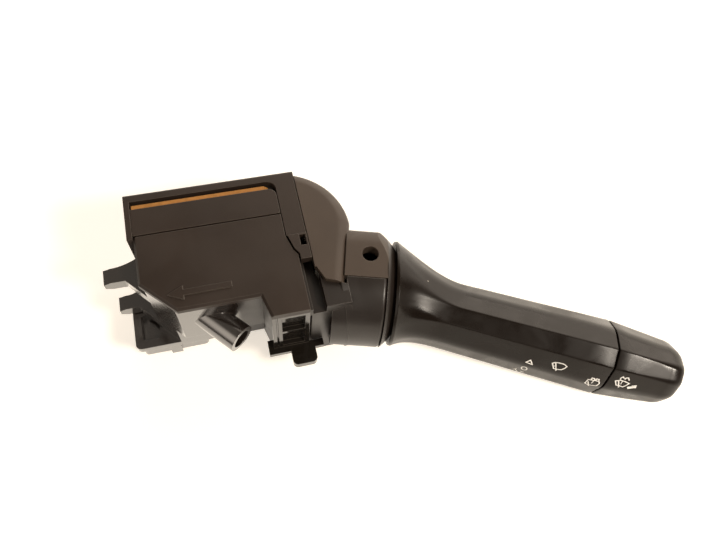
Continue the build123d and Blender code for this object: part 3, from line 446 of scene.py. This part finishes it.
# ---------------------------------------------------------------- skins of the stalk and the knob
FLARE_RINGS, CUP_RINGS, NOSE_RINGS = 34, 12, 13
flare = flare_rings(np.linspace(FLARE_START, FLARE_END, FLARE_RINGS))
swing = np.linspace(np.arcsin(SHAFT_R / CUP_R), np.arccos(RIM_START / CUP_R), CUP_RINGS)
cup = np.stack((CUP_R * np.cos(swing), CUP_R * np.sin(swing)), 1)
lip = [(RIM_START, RIM_R - LIP), (RIM_START + LIP_MIDDLE, RIM_R - LIP_MIDDLE), (RIM_START + LIP, RIM_R)]
mouth = round_rings([(CUP_FLOOR, SHAFT_R), *cup, *lip], PIVOT, neck_axis, neck_side, flare[0])
end_t = SEAM - SEAM_GAP / 2
shaft_t = np.array([50.0, 58.0, 66.0, 74.0, 82.0, *(end_t - EDGE_BACK[::-1])])
shaft_size = stalk_scale(shaft_t)
shaft_size[-len(EDGE_LOSS):] -= EDGE_LOSS[::-1]
shaft = stalk_rings(shaft_t, shaft_size)
bore_floor = SEAM - BEARING_ROOM
bore_ends = [(end_t, BEARING_R), (bore_floor, BEARING_R)]
bore = round_rings(bore_ends, stalk_origin, stalk_axis, stalk_side, shaft[-1])
lever_skin = skin("lever_skin", [mouth, flare, shaft, bore], PIVOT + neck_axis * CUP_FLOOR,
                  stalk_origin + stalk_axis * bore_floor, "lever", "lever_plastic")
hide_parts("stem")

start_t = SEAM + SEAM_GAP / 2
nose_t = TIP - NOSE_LENGTH * np.cos(np.linspace(0, 1, NOSE_RINGS) * np.pi / 2)
knob_t = np.array([*(start_t + EDGE_BACK), 96.0, 99.0, 102.0, 105.0, 108.0, *nose_t])
knob_size = knob_scale(knob_t)
knob_size[:len(EDGE_LOSS)] -= EDGE_LOSS
knob_soft = np.clip((knob_t - SOFT_START) / (TIP - SOFT_START), 0, 1) ** SOFT_POWER
wall = stalk_rings(knob_t, knob_size, knob_soft)
face = stalk_rings([start_t, TIP], [KNOB_FACE_SIZE, KNOB_END_SIZE], np.array([0.0, 1.0]))
knob_skin = skin("knob_skin", [face[:1], wall, face[1:]], stalk_origin + stalk_axis * start_t,
                 stalk_origin + stalk_axis * TIP, "knob", "lever_plastic")
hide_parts("end_knob")

# ---------------------------------------------------------------- wash slider's return spring
RINGS_PER_TURN, WIRE_POINTS = 24, 10


def wound_wire(low, high, wire, turns):
    """Rings of a wire wound round an upright axis in a box given by its two corners, and its middle line.

    The angle grows evenly with height, and each ring is a circle of the wire's radius square to the run.
    """
    share = np.linspace(0, 1, turns * RINGS_PER_TURN + 1)[:, None]
    radius, rise = (high[0] - low[0]) / 2 - wire, high[2] - low[2] - 2 * wire
    angle = 2 * np.pi * turns * share
    out = np.concatenate((np.cos(angle), np.sin(angle), 0 * angle), 1)
    line = np.array(((low[0] + high[0]) / 2, (low[1] + high[1]) / 2, low[2] + wire)) + radius * out
    line += UP * rise * share
    run = np.concatenate((-np.sin(angle), np.cos(angle), 0 * angle + rise / (2 * np.pi * turns * radius)), 1)
    run /= np.linalg.norm(run, axis=1, keepdims=True)
    over = np.cross(run, out)
    phase = np.linspace(0, 2 * np.pi, WIRE_POINTS + 1)[:-1, None]
    ring = out[:, None, :] * np.cos(phase) + over[:, None, :] * np.sin(phase)
    return line[:, None, :] + wire * ring, line


low, high = (np.array(corner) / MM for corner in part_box("wash_spring"))
coil, coil_line = wound_wire(low, high, wire=0.25, turns=6)
return_spring = skin("return_spring", [coil], coil_line[0], coil_line[-1], "case", "pin_steel")
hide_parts("wash_spring")
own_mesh(return_spring)

# ---------------------------------------------------------------- printed marks on the lower faces
FINE_STEP, PROUD, SUNK, MITRE_LIMIT = 0.35, 0.03, 0.08, 1.6
corner_points = ARC_POINTS + SIDE_POINTS
outline = rounded_rings(CORNERS[None].copy(), ROUNDS[None])[0]
lower_face = outline[CREASE * corner_points + ARC_POINTS // 2:FOOT * corner_points + ARC_POINTS]
lower_run = np.gradient(lower_face, axis=0)
lower_run /= np.linalg.norm(lower_run, axis=1, keepdims=True)
lower_reach = np.concatenate(([0.0], np.cumsum(np.linalg.norm(np.diff(lower_face, axis=0), axis=1))))


def on_face(spots, raised, size_at):
    """Points raised off the lower faces, from distances along the axis and down round the section.

    The way down starts at the crease. The section is drawn at full size and then scaled, and outwards is
    square to its run.
    """
    along, down = spots[:, 0], spots[:, 1]
    place = np.stack([np.interp(down, lower_reach, lower_face[:, k]) for k in (0, 1)], 1)
    run = np.stack([np.interp(down, lower_reach, lower_run[:, k]) for k in (0, 1)], 1)
    flat = place * size_at(along)[:, None] + np.stack((run[:, 1], -run[:, 0]), 1) * raised
    return stalk_origin + stalk_axis * along[:, None] + stalk_side * flat[:, :1] + UP * flat[:, 1:]


def fine_path(path, closed):
    """The same path with a point at least every FINE_STEP, so that it lies on the rounded faces."""
    ends = np.roll(path, -1, 0) if closed else np.concatenate((path[1:], path[-1:]))
    steps = np.maximum(np.ceil(np.linalg.norm(ends - path, axis=1) / FINE_STEP).astype(int), 1)
    runs = [a + (b - a) * np.arange(n)[:, None] / n for a, b, n in zip(path, ends, steps)]
    return np.concatenate(runs)


def stroke(path, width, size_at, closed=False):
    """A raised line along a path on the lower faces, with its ends closed: half the width to each side along
    the mitre of its two runs, from SUNK below the face to PROUD above it."""
    path = fine_path(np.asarray(path, float), closed)
    run = np.diff(np.concatenate((path, path[:1])) if closed else path, axis=0)
    run /= np.linalg.norm(run, axis=1, keepdims=True)
    before = np.roll(run, 1, 0) if closed else np.concatenate((run[:1], run))
    after = run if closed else np.concatenate((run, run[-1:]))
    mitre = before + after
    mitre /= np.linalg.norm(mitre, axis=1, keepdims=True)
    spread = np.clip(1 / (mitre * after).sum(1), 1, MITRE_LIMIT)[:, None] * width / 2
    left = np.stack((-mitre[:, 1], mitre[:, 0]), 1) * spread
    section = ((1, PROUD), (-1, PROUD), (-1, -SUNK), (1, -SUNK))
    sides = [on_face(path + s * left, height, size_at) for s, height in section]
    points = np.stack(sides, 1).reshape(-1, 3)
    count = len(path)
    faces = []
    for i in range(count if closed else count - 1):
        j = (i + 1) % count
        faces += [(4 * i + k, 4 * i + (k + 1) % 4, 4 * j + (k + 1) % 4, 4 * j + k) for k in range(4)]
    if not closed:
        last = 4 * (count - 1)
        faces += [(3, 2, 1, 0), (last, last + 1, last + 2, last + 3)]
    return points, faces


def printed(name, strokes, size_at, body):
    """One mark made of strokes (path, width, closed)."""
    points, faces, count = [], [], 0
    for path, width, closed in strokes:
        spots, patches = stroke(path, width, size_at, closed)
        faces += [tuple(i + count for i in f) for f in patches]
        points.append(spots)
        count += len(spots)
    piece = new_piece(name, np.concatenate(points), faces, body, "print_white", sharp=20.0)
    return piece


# Paths are in millimetres: along the stalk's axis, then down from the crease.
turn = np.linspace(0, 2 * np.pi, 17)[:-1, None]
nought = np.array((64.7, 13.6)) + np.array((1.0, 0.0)) * np.cos(turn) + np.array((0.3, 1.9)) * np.sin(turn)
LINE, THIN, BAR, BAR_END = 0.42, 0.30, 1.15, 0.5
printed("mark_speed_steps", [
    ([(63.6, 8.3), (66.0, 8.6), (64.8, 6.6)], LINE, True),
    (nought, LINE, True),
    ([(64.6, 18.3), (65.9, 18.2)], LINE, False),
    ([(61.9, 18.6), (62.7, 16.2)], THIN, False),
    ([(62.2, 16.9), (63.7, 19.2)], THIN, False)], stalk_scale, "lever")
printed("mark_front_wiper", [
    ([(71.9, 5.2), (72.5, 4.6), (73.5, 4.2), (75.1, 4.1), (76.0, 4.3), (76.9, 4.9), (76.5, 6.0), (75.7, 7.1),
      (74.4, 7.4), (73.2, 7.5)], LINE, True),
    ([(72.9, 4.6), (74.3, 8.3)], LINE, False),
    ([(72.6, 6.2), (73.4, 6.2)], THIN, False)], stalk_scale, "lever")
printed("mark_rear_wiper", [
    ([(85.5, 10.7), (85.6, 8.1), (87.3, 7.7), (89.2, 7.5), (89.7, 8.4), (89.5, 10.3), (88.2, 10.8),
      (87.0, 11.4)], LINE, True),
    ([(86.0, 9.0), (87.5, 12.3)], LINE, False),
    ([(87.5, 7.9), (87.4, 9.6)], THIN, False),
    ([(86.5, 7.6), (86.6, 6.8), (87.4, 6.8), (87.7, 7.5)], LINE, False),
    ([(88.0, 7.4), (88.1, 6.6), (88.9, 6.6), (89.1, 7.3)], LINE, False)], stalk_scale, "lever")
printed("mark_rear_washer", [
    ([(94.1, 5.4), (95.5, 4.6), (97.1, 4.7), (98.9, 5.3), (98.3, 6.6), (97.6, 7.6), (96.4, 7.4), (95.1, 7.3)],
     LINE, True),
    ([(95.0, 4.9), (96.4, 8.3)], LINE, False),
    ([(96.3, 4.9), (96.4, 6.5)], THIN, False),
    ([(95.3, 4.3), (95.2, 3.4), (95.7, 2.7), (96.4, 3.4)], LINE, False),
    ([(96.7, 3.8), (96.8, 2.9), (97.5, 2.6), (98.3, 3.8)], LINE, False),
    ([(99.2, 7.7), (100.2, 7.1), (101.0, 6.5), (101.8, 6.3)], BAR, False),
    ([(100.2, 6.3), (101.7, 5.6)], BAR_END, False)], knob_scale, "knob")

# ---------------------------------------------------------------- floor, light and camera
FLOOR_UP = Vector((-0.1534, -0.0760, 0.9852)).normalized()      # square to the plane of the lowest points
FLOOR_AT = FLOOR_UP * (-3.007 * MM)
REACH = 2.5
NEAR_PAPER, FAR_PAPER = (0.80, 0.78, 0.73), (0.80, 0.785, 0.76)
FAR_SLOPE, FAR_START, FAR_FULL = 0.0503, 0.024, 0.031           # where the second tone of the paper starts
LIFT, LIFT_COLOUR = 0.52, (1.0, 0.93, 0.84, 1.0)


def floor_finish():
    """Pale paper. Seen by the camera, mirrored or through a clear piece, it is lifted towards white."""
    material = bpy.data.materials.new("pale_floor")
    material.use_nodes = True
    tree = material.node_tree
    tree.nodes.clear()
    here = node(tree, "ShaderNodeTexCoord").outputs["Object"]
    fibre = node(tree, "ShaderNodeTexNoise", {"Vector": here, "Scale": 900.0, "Detail": 3.0})
    place = node(tree, "ShaderNodeSeparateXYZ", {"Vector": here})
    slope = node(tree, "ShaderNodeMath", {0: place.outputs["X"], 1: FAR_SLOPE, 2: place.outputs["Y"]},
                 operation="MULTIPLY_ADD")
    far = node(tree, "ShaderNodeMapRange", {"Value": slope.outputs[0], "From Min": FAR_START,
                                            "From Max": FAR_FULL})
    colour = mix_colour(tree, far.outputs[0], NEAR_PAPER, FAR_PAPER)
    relief = node(tree, "ShaderNodeBump", {"Height": fibre.outputs[0], "Distance": 0.00002})
    paper = node(tree, "ShaderNodeBsdfDiffuse", {"Color": colour, "Normal": relief.outputs[0]})
    ray = node(tree, "ShaderNodeLightPath").outputs
    mirrored = node(tree, "ShaderNodeMath", {0: ray["Is Glossy Ray"], 1: ray["Is Transmission Ray"]},
                    operation="MAXIMUM")
    seen = node(tree, "ShaderNodeMath", {0: ray["Is Camera Ray"], 1: mirrored.outputs[0]},
                operation="MAXIMUM")
    lift = node(tree, "ShaderNodeMath", {0: seen.outputs[0], 1: LIFT}, operation="MULTIPLY")
    glow = node(tree, "ShaderNodeEmission", {"Color": LIFT_COLOUR, "Strength": lift.outputs[0]})
    both = node(tree, "ShaderNodeAddShader", {0: paper.outputs[0], 1: glow.outputs[0]})
    node(tree, "ShaderNodeOutputMaterial", {"Surface": both.outputs[0]})
    return material


across = FLOOR_UP.cross(Vector((0, 1, 0))).normalized()
along_floor = FLOOR_UP.cross(across)
sheet = bpy.data.meshes.new("floor")
sheet.from_pydata([FLOOR_AT + across * (REACH * a) + along_floor * (REACH * b)
                   for a, b in ((1, 1), (1, -1), (-1, -1), (-1, 1))], [], [(0, 1, 2, 3)])
floor = bpy.data.objects.new("floor", sheet)
if sheet.polygons[0].normal.dot(FLOOR_UP) < 0:
    sheet.flip_normals()
sheet.materials.append(floor_finish())
bpy.context.scene.collection.objects.link(floor)


def bright_zone(tree, way, middle, start, full, low, high):
    """Brightness by direction: low away from a middle direction, easing to high towards it. start and full
    are cosines of the angle to the middle."""
    near = node(tree, "ShaderNodeVectorMath", {0: way, 1: Vector(middle).normalized()},
                operation="DOT_PRODUCT")
    eased = node(tree, "ShaderNodeMapRange", {"Value": near.outputs["Value"], "From Min": start,
                                              "From Max": full, "To Min": low, "To Max": high},
                 interpolation_type="SMOOTHSTEP")
    return eased.outputs[0]


world = bpy.data.worlds.new("room")
bpy.context.scene.world = world
world.use_nodes = True
air = world.node_tree
air.nodes.clear()
way = node(air, "ShaderNodeTexCoord").outputs["Generated"]
level = bright_zone(air, way, (0.60, 0.74, 0.26), start=0.55, full=1.0, low=0.20, high=3.6)
fill = bright_zone(air, way, (-0.62, -0.52, 0.58), start=0.80, full=0.98, low=0.0, high=1.6)
total = node(air, "ShaderNodeMath", {0: level, 1: fill}, operation="ADD")
room = node(air, "ShaderNodeBackground", {"Color": (1.0, 0.88, 0.75, 1.0), "Strength": total.outputs[0]})
white = node(air, "ShaderNodeBackground", {"Color": (1.0, 1.0, 0.98, 1.0), "Strength": 1.0})
seen = node(air, "ShaderNodeLightPath").outputs["Is Camera Ray"]
sky = node(air, "ShaderNodeMixShader", {0: seen, 1: room.outputs[0], 2: white.outputs[0]})
node(air, "ShaderNodeOutputWorld", {"Surface": sky.outputs[0]})

MIDDLE = Vector((0.02, -0.01, 0.02))     # what the lamp faces


def soft_lamp(name, toward, distance, size, watts, colour):
    """A square area lamp that faces the object."""
    light = bpy.data.lights.new(name, "AREA")
    light.shape, light.size, light.energy, light.color = "SQUARE", size, watts, colour
    lamp = bpy.data.objects.new(name, light)
    away = Vector(toward).normalized()
    lamp.location = MIDDLE + away * distance
    lamp.rotation_mode = "QUATERNION"
    lamp.rotation_quaternion = away.to_track_quat("Z", "Y")
    bpy.context.scene.collection.objects.link(lamp)


soft_lamp("window", (0.45, -0.50, 0.74), distance=0.9, size=0.17, watts=7.4, colour=(1.0, 0.90, 0.78))

SENSOR = 36.0
FOCAL, FRAME_WIDTH = 640.0, 722.0       # pixels
camera = bpy.data.objects.new("camera", bpy.data.cameras.new("camera"))
camera.data.sensor_width = SENSOR
camera.data.lens = FOCAL / FRAME_WIDTH * SENSOR
camera.data.clip_start, camera.data.clip_end = 0.01, 20.0
turned = Matrix((
    (0.96690, 0.17534, -0.18536),
    (-0.23860, 0.87875, -0.41335),
    (0.09041, 0.44390, 0.89150)))
camera.matrix_world = Matrix.Translation((-0.031609, -0.091235, 0.227740)) @ turned.to_4x4()
bpy.context.scene.collection.objects.link(camera)
bpy.context.scene.camera = camera
bpy.context.scene.view_settings.view_transform = "Standard"
